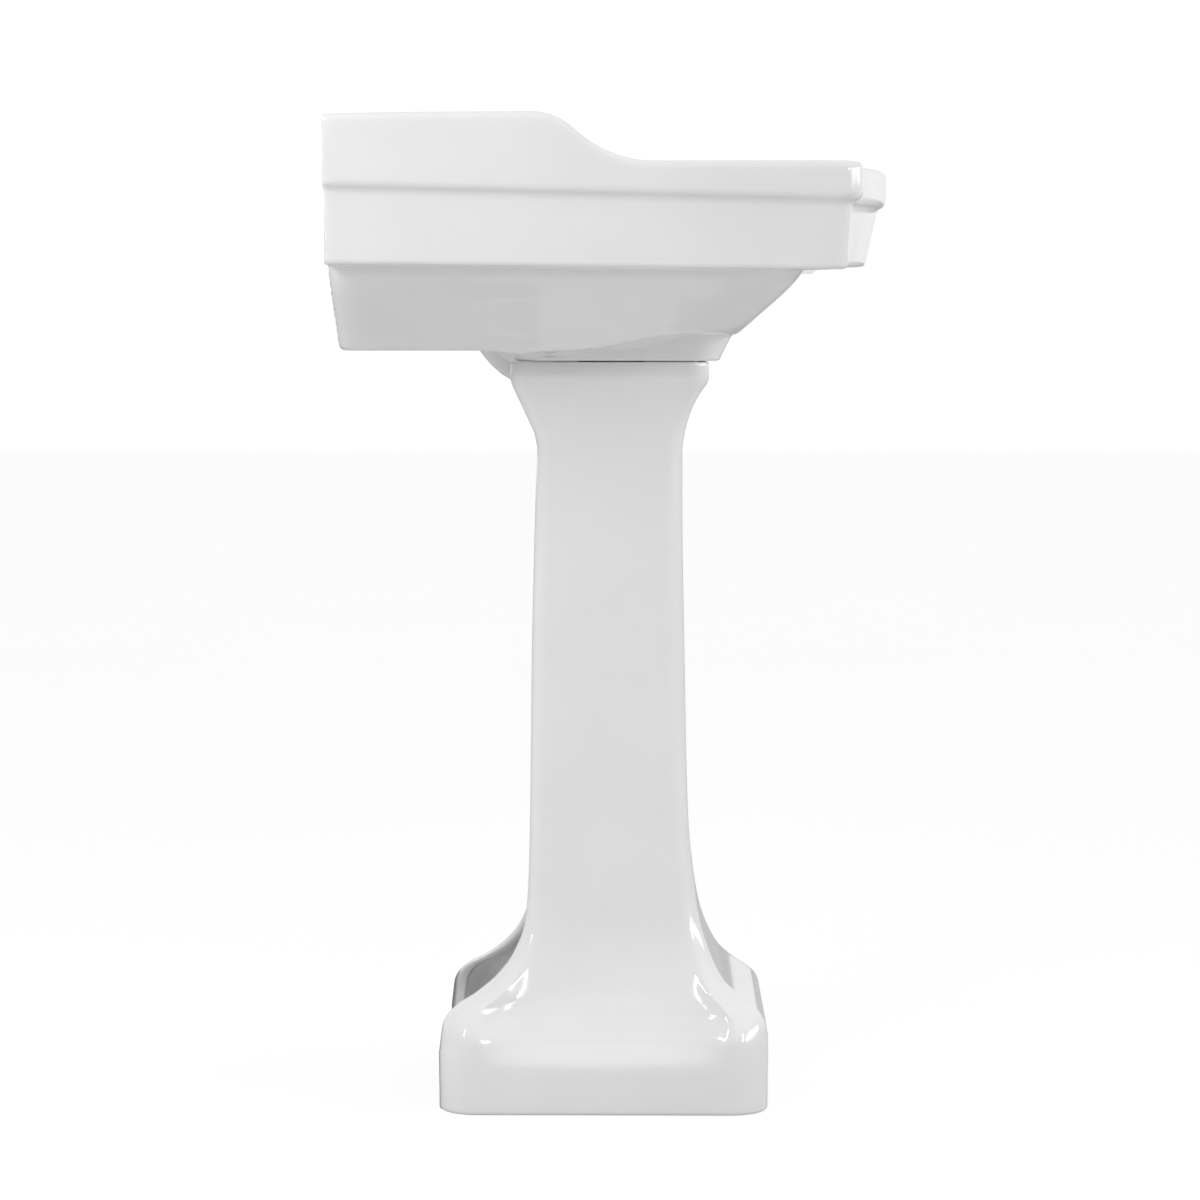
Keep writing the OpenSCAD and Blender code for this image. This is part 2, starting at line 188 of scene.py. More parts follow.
def bow(x, rise):
    """How far the front stands out at x: a shallow arc that runs softly into the flat front."""
    r = (BOW_HALF * BOW_HALF + rise * rise) / (2 * rise)
    arc = np.sqrt(np.maximum(r * r - x * x, 0)) - (r - rise)
    return 0.5 * (arc + np.sqrt(arc * arc + BOW_BLEND * BOW_BLEND))


def outline(w, front, back, rf, rb, rise=0.0):
    """Points of a rounded rectangle, anticlockwise, with a bowed front where rise isn't zero."""
    def arc(cx, cy, r, a0, count=60):
        a = np.radians(a0 + np.linspace(0, 90, count))
        return np.stack([cx + r * np.cos(a), cy + r * np.sin(a)], 1)

    def line(p, q, count=FINE):
        t = np.linspace(0, 1, count + 2)[1:-1, None]
        return np.array(p) + (np.array(q) - np.array(p)) * t

    parts = [arc(w - rf, rf - front, rf, -90), line((w, rf - front), (w, back - rb)),
             arc(w - rb, back - rb, rb, 0), line((w - rb, back), (rb - w, back)),
             arc(rb - w, back - rb, rb, 90), line((-w, back - rb), (-w, rf - front)),
             arc(rf - w, rf - front, rf, 180), line((rf - w, -front), (w - rf, -front), 2 * FINE)]
    p = np.concatenate(parts)
    if rise:
        fade = smoothstep((-p[:, 1] - front + rf) / rf)
        p[:, 1] -= bow(p[:, 0], rise) * fade
    return p


def normals(p):
    """Outward directions along a closed outline."""
    t = np.roll(p, -1, 0) - np.roll(p, 1, 0)
    n = np.stack([t[:, 1], -t[:, 0]], 1)
    return n / np.linalg.norm(n, axis=1)[:, None]


def polar(p, rays):
    """The outline's points on rays from the drain's axis."""
    q = p - [0, DRAIN_Y]
    a = np.arctan2(q[:, 1], q[:, 0])
    r = np.hypot(q[:, 0], q[:, 1])
    order = np.argsort(a)
    rr = np.interp(rays, a[order], r[order], period=2 * math.pi)
    return np.stack([rr * np.cos(rays), rr * np.sin(rays) + DRAIN_Y], 1)


RAY_GAP = 0.004


def choose_rays(outside, inside):
    """Directions that follow the turns of both outlines and the slope of the swoop."""
    def angles(p, step, bend):
        seg = np.linalg.norm(np.roll(p, -1, 0) - p, axis=1)
        n = normals(p)
        turn = np.arccos(np.clip((n * np.roll(n, -1, 0)).sum(1), -1, 1))
        dense = np.where((p[:, 1] > -60) & (p[:, 1] < 78), 1 / 4.0, 1 / step)
        cost = np.cumsum(seg * dense + turn / bend)
        count = int(cost[-1])
        idx = np.searchsorted(cost, np.arange(count) + 0.5)
        q = p[np.clip(idx, 0, len(p) - 1)] - [0, DRAIN_Y]
        return np.arctan2(q[:, 1], q[:, 0])

    a = np.sort(np.concatenate([angles(outside, 11.0, math.radians(7)),
                                angles(inside, 30.0, math.radians(8))]))
    keep = [a[0]]
    for v in a[1:]:
        if v - keep[-1] > RAY_GAP:
            keep.append(v)
    return np.array(keep)


SWOOP_Y, SWOOP_A, R1, R2 = 71.0, math.radians(40.8), 52.5, 96.0
SWOOP_L = (RIM_DROP - (R1 + R2) * (1 - math.cos(SWOOP_A))) / math.sin(SWOOP_A)
SWOOP_END = SWOOP_Y - (R1 + R2) * math.sin(SWOOP_A) - SWOOP_L * math.cos(SWOOP_A)


def top_z(y):
    """Height of the upper edge: deck, swoop and rim."""
    y = np.asarray(y, float)
    deck = DECK_Z - 2.0 * (np.clip(y - 75, 0, None) / 171) ** 2
    d1 = np.clip(SWOOP_Y - y, 0, R1 * math.sin(SWOOP_A))
    arc1 = deck - (R1 - np.sqrt(R1 * R1 - d1 * d1))
    d2 = np.clip(y - SWOOP_END, 0, R2 * math.sin(SWOOP_A))
    arc2 = RIM_Z + (R2 - np.sqrt(R2 * R2 - d2 * d2))
    y1 = SWOOP_Y - R1 * math.sin(SWOOP_A)
    line = DECK_Z - R1 * (1 - math.cos(SWOOP_A)) - (y1 - y) * math.tan(SWOOP_A)
    y2 = SWOOP_END + R2 * math.sin(SWOOP_A)
    return np.where(y >= y1, arc1, np.where(y >= y2, line, arc2))


def band_z(y):
    """Height of the step under the upper band, which falls a little towards the front."""
    return 826.5 + (np.asarray(y) - 239) * (11.3 / 447)


def apron_z(x, y):
    """Height of the apron's lower edge, lower towards the front corners."""
    return 761.5 - 4.9 * np.clip((WALL_Y - y) / 453, 0, 1) * (np.abs(x) / 296) ** 2


def outer(inset, deeper_bow=0.0):
    """The basin's outline pulled in by inset, and its bow by more, with the back edge left at the wall."""
    return outline(HALF_W - inset, FRONT_Y - inset, WALL_Y, FRONT_ROUND, BACK_ROUND, BOW_RISE - deeper_bow)


def bowl_outline(z, grow, extra=0.0):
    """The bowl at height z: its inside, or its outside when grown by the china's thickness."""
    depth = RIM_Z - BOWL_FLOOR + grow
    u = min(max((RIM_Z - z) / depth, 0), 0.995)
    power = 1.6 if grow > 0 else 1.7
    slope = (1 - u ** power) ** (1 / power)
    front = (BOWL_F + DRAIN_Y + 0.7 * grow) * slope - DRAIN_Y
    back = (BOWL_B - DRAIN_Y + grow) * (1 - u ** 3.2) ** (1 / 3.2) + DRAIN_Y
    w = (BOWL_W + grow) * slope
    r = min(w, (front + back) / 2) * (0.6 + 0.36 * u * u)
    return outline(w + extra, front + extra, back + extra, r + extra, r + extra)


rays = choose_rays(outer(0), bowl_outline(RIM_Z, 0))


def lift(p2, z):
    """Plan points at height z."""
    z = np.broadcast_to(z, (len(p2),))
    return np.column_stack([p2, z])


def circle(r, z):
    """A circle round the drain's axis, with a point on every ray."""
    return lift(np.stack([r * np.cos(rays), r * np.sin(rays) + DRAIN_Y], 1), z)


def quarter(count):
    """Angles of a quarter turn."""
    return np.radians(np.linspace(0, 90, count))


# ---- Basin ----
# Rows of height, half width and front of the body under the apron
SKIRT = [[687, 160, 100], [700, 176, 108], [720, 212, 128], [740, 243, 148], [757, 265, 161]]
SKIRT_MID, SKIRT_Z = 720, 687


def skirt_at(z):
    """Half width and front of the body under the apron at height z, through a smooth curve."""
    t = np.array(SKIRT, float)
    w, f = (np.polyfit(t[:, 0] - SKIRT_MID, t[:, k], 3) for k in (1, 2))
    return float(np.polyval(w, z - SKIRT_MID)), float(np.polyval(f, z - SKIRT_MID))


def skirt_low(y):
    """Height of the skirt's lower edge: level at the back, rising to the collar at the front."""
    return SKIRT_Z - 3 * np.exp(-((y - 92) / 20) ** 2) + 14 * smoothstep((50 - y) / 120)


def radius(p):
    """Distance from the drain's axis of an outline, along each ray."""
    q = polar(p, rays) - [0, DRAIN_Y]
    return np.hypot(q[:, 0], q[:, 1])


def on_rays(r, z):
    """Points at distance r along each ray and height z."""
    return lift(np.stack([r * np.cos(rays), r * np.sin(rays) + DRAIN_Y], 1), z)


class Wall:
    """A surface given as outlines at a few heights, read at any height along each ray."""
    def __init__(self, zs, shape, soft=0.0):
        self.zs = np.asarray(zs, float)
        self.grid = np.array([radius(shape(z)) for z in self.zs])
        if soft:
            self.soften(soft)

    def soften(self, reach):
        """Averages along the outline over about reach millimetres, away from the wall."""
        mid = self.grid[len(self.grid) // 2]
        x, y = mid * np.cos(rays), mid * np.sin(rays) + DRAIN_Y
        step = np.hypot(np.roll(x, -1) - x, np.roll(y, -1) - y)
        place = np.concatenate([[0], np.cumsum(step)[:-1]])
        total = step.sum()
        gap = np.abs(place[:, None] - place[None, :])
        gap = np.minimum(gap, total - gap)
        weight = np.exp(-(gap / reach) ** 2) * (0.5 * (step + np.roll(step, 1)))[None, :]
        weight /= weight.sum(axis=1)[:, None]
        keep = smoothstep((y - (WALL_Y - 90)) / 60)
        blurred = self.grid @ weight.T
        self.grid = self.grid * keep + blurred * (1 - keep)

    def at(self, z):
        z = np.broadcast_to(z, rays.shape)
        k = np.clip(np.searchsorted(self.zs, z) - 1, 0, len(self.zs) - 2)
        t = np.clip((z - self.zs[k]) / (self.zs[k + 1] - self.zs[k]), 0, 1)
        i = np.arange(len(rays))
        return self.grid[k, i] * (1 - t) + self.grid[k + 1, i] * t


def skirt_shape(z, inset=0.0, back=WALL_Y):
    """Outline of the body under the apron at height z."""
    w, f = skirt_at(z)
    r = 40 + 26 * np.clip((757 - z) / 67, 0, 1)
    return outline(w - inset, f - inset, back, r - inset, 20 - inset * 0.5)


# Rows of height, half width, front and back of the collar
COLLAR = [[676.8, 92, 84, 88], [680.8, 100, 94, 94], [704, 107, 105.5, 99]]
COLLAR_ROUND = 27


def collar_shape(z):
    """Outline of the collar at height z."""
    heights, *sizes = np.array(COLLAR).T
    w, f, b = (np.interp(z, heights, size) for size in sizes)
    return outline(w, f, b, COLLAR_ROUND, COLLAR_ROUND)


def curve3(a, b, c, count):
    """Points of a quadratic curve from a to c that leans on b, without a itself."""
    steps = np.linspace(0, 1, count + 1)[1:]
    return [a * (1 - t) ** 2 + 2 * b * t * (1 - t) + c * t * t for t in steps]


RIM_FOOT = RIM_Z - 8


def bowl_rings():
    """The bowl's inner surface from its floor up to just under the rim."""
    rings = [circle(20, BOWL_FLOOR), circle(34, BOWL_FLOOR)]
    low = BOWL_FLOOR + 0.6
    for i in range(1, 45):
        z = low + (RIM_FOOT - low) * (i / 44) ** 1.9
        rings.append(on_rays(np.maximum(radius(bowl_outline(z, 0)), 36 + 0.4 * i), z))
    return rings


def bowl_space():
    """The room inside the bowl, which ends a hair above the foot of the rim."""
    rings = bowl_rings()
    rings.append(on_rays(radius(bowl_outline(RIM_FOOT, 0)) - 0.05, RIM_Z - 7.5))
    return outward(make("bowl_space", *loft(rings)))


def basin_skin():
    """The basin as one solid with its bowl filled up to the foot of the rim."""
    rings = [bowl_rings()[-1]]
    rim = polar(bowl_outline(RIM_Z, 0), rays)
    edge = 6.0
    for k in range(1, 7):
        rings.append(lift(rim, RIM_FOOT + (top_z(rim[:, 1]) - edge - RIM_FOOT) * k / 6))
    for a in quarter(8)[1:]:
        p = polar(bowl_outline(RIM_Z, 0, edge * (1 - math.cos(a))), rays)
        rings.append(lift(p, top_z(p[:, 1]) - edge * (1 - math.sin(a))))
    inner = rings[-1][:, :2]
    # Deck and rim
    edge = 7.0
    last = polar(outer(edge), rays)
    for k in range(1, 18):
        p = inner + (last - inner) * k / 18
        rings.append(lift(p, top_z(p[:, 1])))
    for a in quarter(9)[::-1]:
        p = polar(outer(edge * (1 - math.cos(a))), rays)
        rings.append(lift(p, top_z(p[:, 1]) - edge * (1 - math.sin(a))))
    # Upper band and the moulded step under it
    face = rings[-1]
    bend, reach = math.radians(64), 8.0
    half = reach * math.sin(bend)
    p = polar(outer(0), rays)
    z1 = band_z(p[:, 1]) + half
    for k in range(1, 6):
        rings.append(lift(p, face[:, 2] + (z1 - face[:, 2]) * k / 5))
    for a in np.linspace(0, bend, 8)[1:]:
        p = polar(outer(reach * (1 - math.cos(a))), rays)
        rings.append(lift(p, band_z(p[:, 1]) + half - reach * math.sin(a)))
    step = 2 * reach * (1 - math.cos(bend))
    for a in np.linspace(bend, 0, 8)[:-1]:
        p = polar(outer(step - reach * (1 - math.cos(a))), rays)
        rings.append(lift(p, band_z(p[:, 1]) - half + reach * math.sin(a)))
    p = polar(outer(step), rays)
    rings.append(lift(p, band_z(p[:, 1]) - half))
    # Apron, leaning in a little
    lean, extra, edge = 3.0, 6.0, 5.0
    top = rings[-1][:, 2]
    for k in range(1, 6):
        t = k / 5
        p = polar(outer(step + lean * t, extra * t), rays)
        z2 = apron_z(p[:, 0], p[:, 1]) + edge
        rings.append(lift(p, top + (z2 - top) * t))
    for a in quarter(8)[1:]:
        p = polar(outer(step + lean + edge * (1 - math.cos(a)), extra), rays)
        rings.append(lift(p, apron_z(p[:, 0], p[:, 1]) + edge * (1 - math.sin(a))))
    # Ledge to the body
    z_under = rings[-1][:, 2]
    body = Wall(np.linspace(684, 766, 42), skirt_shape, 26.0)
    fillet = 1.6
    a = on_rays(body.at(z_under) + fillet, z_under - 0.3)
    b = on_rays(body.at(z_under), z_under - 0.5)
    c = on_rays(body.at(z_under - fillet), z_under - fillet)
    rings.append(a)
    rings += curve3(a, b, c, 4)
    # Body, down to its lower edge and across to the collar
    collar = Wall(np.linspace(676.8, 704, 15), collar_shape)
    y_edge = on_rays(body.at(690), 0)[:, 1]
    low = skirt_low(y_edge)
    r_edge, r_col = body.at(low), collar.at(low)
    room = np.maximum(r_edge - r_col, 0.5)
    e = 7 + 12 * smoothstep((30 - y_edge) / 100)
    top = z_under - fillet
    for k in range(1, 15):
        z = top + (low + e - top) * k / 14
        rings.append(on_rays(body.at(z), z))
    inward = np.minimum(e, 0.45 * room)
    rings += curve3(rings[-1], on_rays(r_edge, low), on_rays(r_edge - inward, low), 5)
    turn = np.minimum(5, 0.45 * room)
    a = on_rays(r_col + turn, low)
    rings.append((rings[-1] + a) / 2)
    rings.append(a)
    rings += curve3(a, on_rays(r_col, low), on_rays(collar.at(low - 4), low - 4), 4)
    # Collar, with a rounded lower edge
    z0 = rings[-1][:, 2]
    for k in (1, 2):
        z = z0 + (SEAT_Z + 4 - z0) * k / 2
        rings.append(on_rays(collar.at(z), z))
    a = rings[-1]
    r0 = collar.at(SEAT_Z + 4)
    rings += curve3(a, on_rays(r0, SEAT_Z), on_rays(r0 - 6, SEAT_Z), 6)
    rings.append(circle(60, SEAT_Z))
    rings.append(circle(20, SEAT_Z))
    verts, faces = loft(rings)
    verts[:, 1] = np.minimum(verts[:, 1], WALL_Y)
    return outward(make("basin_china", verts, faces))


# How far the basin's hollow is drawn in at the sides and front, besides the china's thickness
HOLLOW_INSET = 9


def basin_cavity():
    """Space inside the walls, around the bowl."""
    t = CHINA
    back = WALL_Y - t
    inner = Wall(np.linspace(690, 766, 39), lambda z: skirt_shape(z, t, back))
    start = skirt_low(on_rays(inner.at(700), 0)[:, 1]) + 15
    wall = []
    for k in range(8):
        z = start + (764 - start) * k / 7
        wall.append(on_rays(inner.at(z), z))
    for z in (772, 800):
        p = outline(HALF_W - HOLLOW_INSET - t, FRONT_Y - HOLLOW_INSET - t, back, 14, 10)
        wall.append(lift(polar(p, rays), z))
    p = wall[-1][:, :2]
    wall.append(lift(p, np.maximum(top_z(p[:, 1]) - t - 8, 820)))
    for a in quarter(4)[1:]:
        g = 8 * (1 - math.cos(a))
        p = outline(HALF_W - HOLLOW_INSET - t - g, FRONT_Y - HOLLOW_INSET - t - g, back - g, 14, 10)
        p = polar(p, rays)
        wall.append(lift(p, top_z(p[:, 1]) - t - 8 * (1 - math.sin(a))))
    roof = np.hypot(wall[-1][:, 0], wall[-1][:, 1] - DRAIN_Y)
    bowl_top = np.minimum(radius(bowl_outline(RIM_Z, t)), roof * 0.985)
    for k in (1, 2, 3):
        r = roof + (bowl_top - roof) * k / 4
        p = on_rays(r, 0)
        wall.append(lift(p[:, :2], top_z(p[:, 1]) - t))
    bowl_skin = Wall(np.linspace(654, RIM_Z, 60), lambda z: bowl_outline(z, t))
    for i in range(20):
        z = start + (RIM_Z - t - 4 - start) * (1 - i / 19)
        wall.append(on_rays(np.minimum(bowl_skin.at(z), roof * 0.985), z))
    return outward(make("cavity", *loft(wall, wrap=True)))


def plain_ring(w, front, back, r, z, n=12):
    """A small rounded rectangle in the plane z."""
    corners = ((w - r, r - front, -90), (w - r, back - r, 0), (r - w, back - r, 90), (r - w, r - front, 180))
    pts = []
    for cx, cy, a0 in corners:
        for i in range(n + 1):
            a = math.radians(a0 + 90 * i / n)
            pts.append((cx + r * math.cos(a), cy + r * math.sin(a), z))
    return np.array(pts)


def well():
    """Opening under the deck, behind the collar, with a rounded mouth."""
    rings = []
    back = WALL_Y - CHINA
    for grow, z in ((8, 676), (4, 684.5), (2.2, 686.5), (0.8, 688.5), (0, 692), (0, 708)):
        rings.append(plain_ring(146 + grow, -104 + grow * 0.4, back + grow * 0.5, 16, z))
    return outward(make("well", *loft(rings)))


def bowl_low():
    """Underside of the bowl below the collar, and the boss round the drain."""
    rings = []
    g = CHINA + 0.3
    low = BOWL_FLOOR - g
    steps = [low + 0.5 + (712 - low) * (i / 14) ** 1.8 for i in range(15)]
    rings.append(circle(38, BOSS_Z))
    rings.append(circle(40, BOSS_Z + 2.5))
    rings.append(circle(40.5, low + 1))
    for z in steps[1:]:
        p = polar(bowl_outline(z, g), rays)
        rad = np.maximum(np.hypot(p[:, 0], p[:, 1] - DRAIN_Y), 42)
        rings.append(lift(np.stack([rad * np.cos(rays), rad * np.sin(rays) + DRAIN_Y], 1), z))
    p = polar(bowl_outline(722, 11), rays)
    rings.append(lift(p, 722))
    return outward(make("bowl_low", *loft(rings)))


def blob_run(points, n=28, m=14):
    """A round-ended rib through points (radius, y, z) in the plane x = 0."""
    pts = np.array(points, float)
    path, rad = [], []
    for a, b in zip(pts[:-1], pts[1:]):
        for t in np.linspace(0, 1, 9)[:-1]:
            path.append(a[1:] + (b[1:] - a[1:]) * t)
            rad.append(a[0] + (b[0] - a[0]) * t)
    path.append(pts[-1][1:])
    rad.append(pts[-1][0])
    path, rad = np.array(path), np.array(rad)
    for _ in range(3):
        path[1:-1] = (path[:-2] + 2 * path[1:-1] + path[2:]) / 4
        rad[1:-1] = (rad[:-2] + 2 * rad[1:-1] + rad[2:]) / 4
    tan = np.gradient(path, axis=0)
    tan /= np.linalg.norm(tan, axis=1)[:, None]
    rings = []

    def loop(c, t, r):
        a = np.linspace(0, 2 * math.pi, n, endpoint=False)
        return np.stack([r * np.cos(a), c[0] - t[1] * r * np.sin(a), c[1] + t[0] * r * np.sin(a)], 1)

    for a in np.linspace(88, 8, m // 2):
        a = math.radians(a)
        rings.append(loop(path[0] - tan[0] * rad[0] * math.sin(a), tan[0], rad[0] * math.cos(a)))
    for c, t, r in zip(path, tan, rad):
        rings.append(loop(c, t, r))
    for a in np.linspace(8, 88, m // 2):
        a = math.radians(a)
        rings.append(loop(path[-1] + tan[-1] * rad[-1] * math.sin(a), tan[-1], rad[-1] * math.cos(a)))
    return outward(make("rib", *loft(rings)))


def turned(name, profile, n=64, axis="Z", at=(0, 0, 0)):
    """A closed solid turned from (radius, height) points; the first and last lie on the axis."""
    rings = []
    a = np.linspace(0, 2 * math.pi, n, endpoint=False)
    for r, h in profile:
        c, s = r * np.cos(a), r * np.sin(a)
        hh = np.full(n, float(h))
        p = np.stack([c, s, hh], 1) if axis == "Z" else np.stack([c, hh, -s], 1)
        rings.append(p + np.array(at, float))
    return outward(make(name, *loft(rings)))


def notch():
    """Opening in the back wall, behind the column."""
    rings = []
    for y in (WALL_Y - 30, WALL_Y - 1.6, WALL_Y + 20):
        p = plain_ring(100, -640, 752, 10, 0)
        rings.append(np.stack([p[:, 0], np.full(len(p), float(y)), p[:, 1]], 1))
    return outward(make("notch", *loft(rings)))


# The overflow way's rib, as rows of radius, y and z from the overflow hole to the drain
OVERFLOW_WAY = [[17, 150, 818], [20, 144, 741], [25, 93, 680], [17, DRAIN_Y + 18, 657]]
DRAIN_R, FLANGE_R, BOLT_R, OVERFLOW_R = 22.5, 32.6, 8, 11
HOLE_ROLL = 2.5


def build_basin():
    """The whole casting: outer skin, hollow, bowl, overflow way and holes."""
    ob = basin_skin()
    steps = [("DIFFERENCE", basin_cavity()), ("DIFFERENCE", well()), ("UNION", bowl_low()),
             ("UNION", blob_run(OVERFLOW_WAY)), ("DIFFERENCE", bowl_space()), ("DIFFERENCE", notch())]
    # Drain, faucet, overflow and wall-bolt holes
    drain = [(DRAIN_R, BOSS_Z - 5), (DRAIN_R, BOWL_FLOOR - 1.2), (DRAIN_R + 0.9, BOWL_FLOOR + 0.05),
             (FLANGE_R, BOWL_FLOOR + 0.05), (FLANGE_R, BOWL_FLOOR + 6)]
    steps.append(("DIFFERENCE", turned("drain", drain, at=(0, DRAIN_Y, 0))))
    for key in ("faucet_hole_left", "faucet_hole_middle", "faucet_hole_right"):
        x, y, _ = np.array(mounts[key]["pos_m"]) / MM
        r = mounts[key]["dims"]["r_mm"]
        z = float(top_z(y))
        prof = [(r, z - 40), (r, z - HOLE_ROLL)]
        prof += [(r + HOLE_ROLL * (1 - math.cos(a)), z - HOLE_ROLL + HOLE_ROLL * math.sin(a))
                 for a in quarter(6)[1:]]
        prof += [(r + 3.2, z + 8)]
        steps.append(("DIFFERENCE", turned(key, prof, at=(x, y, 0))))
    bolt_z = mounts["wall_bolts"]["pos_m"][2] / MM
    pitch = mounts["wall_bolts"]["dims"]["spacing_x_mm"]
    for s in (-1, 1):
        steps.append(("DIFFERENCE", turned("bolt", [(BOLT_R, WALL_Y - 40), (BOLT_R, WALL_Y + 10)],
                                           axis="Y", at=(s * pitch / 2, 0, bolt_z))))
    overflow_z = (ring_lo[2] + ring_hi[2]) / 2
    steps.append(("DIFFERENCE", turned("overflow", [(OVERFLOW_R, BOWL_B - 20), (OVERFLOW_R, 150)],
                                       axis="Y", at=(0, 0, overflow_z))))
    return smooth(carve(ob, steps), 34)


# ---- Pedestal ----
# Rows of height, front, back, half width and how far the side is drawn in
STANCE = [[0, 137, 160.5, 145, 0], [38, 137.3, 160.9, 145, 0], [44, 137.5, 161, 145, 1],
          [50, 137.5, 161, 145, 4.5], [57, 137.4, 160.4, 144.8, 11], [64, 137.3, 159.5, 144, 16.5],
          [75, 136, 158, 139.5, 21], [84, 132, 154, 133.5, 22], [93, 122, 145, 126.5, 21],
          [102, 109.5, 129, 118.5, 19], [116, 96, 110.5, 106.5, 13.5], [135, 86, 95, 93.5, 7.5],
          [158, 78, 85.5, 84, 3.5], [195, 71.5, 81.5, 78, 0.8], [266, 65, 79.6, 76, 0],
          [400, 61.8, 78, 75, 0], [560, 59.3, 74, 74.5, 0], [594, 59.3, 72.7, 74.5, 0],
          [610, 61.2, 75, 76.5, 0], [624, 64.6, 81, 80.5, 0], [638, 69.9, 87.2, 86, 0],
          [650, 76.8, 92.6, 92, 0], [658, 82, 95.6, 96.5, 0], [664, 83.2, 96.2, 98, 0],
          [676, 83.2, 96.2, 98, 0]]
WALL_T, LIP_W, COL_R, FOOT_ROUND = 12.0, 26.0, 14.0, 20.0
END_ROUND = 3
LIP_STEPS = 8


def monotone(xs, ys, q):
    """Smooth curve through points that doesn't overshoot."""
    h = np.diff(xs)
    d = np.diff(ys) / h
    m = np.zeros(len(xs))
    m[0], m[-1] = d[0], d[-1]
    for i in range(1, len(xs) - 1):
        if d[i - 1] * d[i] > 0:
            w1, w2 = 2 * h[i] + h[i - 1], h[i] + 2 * h[i - 1]
            m[i] = (w1 + w2) / (w1 / d[i - 1] + w2 / d[i])
    k = np.clip(np.searchsorted(xs, q) - 1, 0, len(h) - 1)
    t = (q - xs[k]) / h[k]
    return ((2 * t**3 - 3 * t**2 + 1) * ys[k] + (t**3 - 2 * t**2 + t) * h[k] * m[k]
            + (-2 * t**3 + 3 * t**2) * ys[k + 1] + (t**3 - t**2) * h[k] * m[k + 1])


def section(f, b, w, pull, grow):
    """The C-shaped section, from one lip round the front to the other."""
    spread = (w - 75) / 70
    r = COL_R + FOOT_ROUND * spread * spread + grow * (1 + spread * (grow < -2)) / (1 + (grow < -2))
    w2, f2, b2 = w + grow, f + grow, b + grow
    lip = w - LIP_W
    turn = quarter(15)
    br = [(w2 - r + r * math.sin(t), b2 - r + r * math.cos(t)) for t in turn]
    fr = [(w2 - r + r * math.cos(t), -f2 + r - r * math.sin(t)) for t in turn]
    half = [(lip, b2)]
    half += [(lip + (w2 - r - lip) * i / 3, b2) for i in (1, 2)]
    half += br
    for i in range(1, 36):
        u = i / 36
        k = pull * (1 - abs(2 * u - 1) ** 3)
        half.append((w2 - k, br[-1][1] + (fr[0][1] - br[-1][1]) * u))
    half += fr
    x = fr[-1][0]
    front = [(x * (1 - 2 * i / 24), -f2) for i in range(1, 24)]
    left = [(-x, y) for x, y in reversed(half)]
    return np.array(half + front + left)


def lip_end(p, q):
    """The lip's end, a half round from the outer skin's point p to the inner skin's point q."""
    c = (p + q) / 2
    h = abs(p[1] - q[1]) / 2
    side = -1 if p[0] < 0 else 1
    turns = [math.pi * i / LIP_STEPS for i in range(1, LIP_STEPS)]
    return [(c[0] - side * h * math.sin(t) * 0.55, c[1] + (p[1] - c[1]) * math.cos(t)) for t in turns]


def end_faces(base, m):
    """Faces that close one end between the two skins, each of m points, with a lip end after each."""
    k = LIP_STEPS - 1
    faces = []
    for a in range(m - 1):
        d = 2 * m + k - 1 - a
        faces.append((a, a + 1, d - 1, d))
    faces.append((m - 1, *range(m, m + k), m + k))
    faces.append((2 * m + k - 1, *range(2 * m + k, 2 * m + 2 * k), 0))
    return [tuple(base + v for v in face) for face in faces]


def build_pedestal():
    """The whole casting: the C-shaped shell with its lips, the floor lugs and their holes."""
    t = np.array(STANCE, float)
    t[-1][0] = foot_hi[2]
    zs = np.concatenate([[0, 0.4, 1.2, 2.4, 4], np.linspace(8, 34, 8), np.linspace(36, 140, 62),
                         np.linspace(146, 216, 12), np.linspace(230, 580, 18), np.linspace(588, 664, 30),
                         [666, 669, 672, 673.5, 674.8, 675.6, 676]])
    rings = []
    for z in zs:
        f, b, w, pull = (float(monotone(t[:, 0], t[:, k], z)) for k in (1, 2, 3, 4))
        edge = 0.0
        if z < END_ROUND:
            edge = END_ROUND - math.sqrt(max(END_ROUND ** 2 - (END_ROUND - z) ** 2, 0))
        if z > foot_hi[2] - END_ROUND:
            rise = z - foot_hi[2] + END_ROUND
            edge = (END_ROUND - math.sqrt(max(END_ROUND ** 2 - rise ** 2, 0))) * 0.5
        out = section(f, b, w, pull, -edge)
        inn = section(f, b, w, pull, -WALL_T + edge * 0.5)
        loop = np.concatenate([out, lip_end(out[-1], inn[-1]), inn[::-1], lip_end(out[0], inn[0])[::-1]])
        rings.append(np.column_stack([loop, np.full(len(loop), z)]))
    verts, faces = loft(rings, cap=False)
    faces += [face[::-1] for face in end_faces(0, len(out))]
    faces += end_faces((len(rings) - 1) * len(rings[0]), len(out))
    ob = outward(make("pedestal_china", verts, faces))
    steps = []
    screw_y = mounts["floor_screws"]["pos_m"][1] / MM
    pitch = mounts["floor_screws"]["dims"]["spacing_x_mm"]
    r = mounts["floor_screws"]["dims"]["hole_r_mm"]
    for s in (-1, 1):
        rings = []
        for grow, z in ((0, 0), (0, 9.5), (-0.7, 11.2), (-2.5, 12)):
            p = plain_ring(18 + grow, 20 + grow, 20 + grow, 5, z, 6)
            rings.append(p + [s * (pitch / 2 + 7), screw_y, 0])
        steps.append(("UNION", outward(make("lug", *loft(rings)))))
    for s in (-1, 1):
        hole = [(r, -5), (r, 11), (r + 1, 12.05), (r + 1.5, 16)]
        steps.append(("DIFFERENCE", turned("screw_hole", hole, 32, at=(s * pitch / 2, screw_y, 0))))
    return smooth(carve(ob, steps), 34)


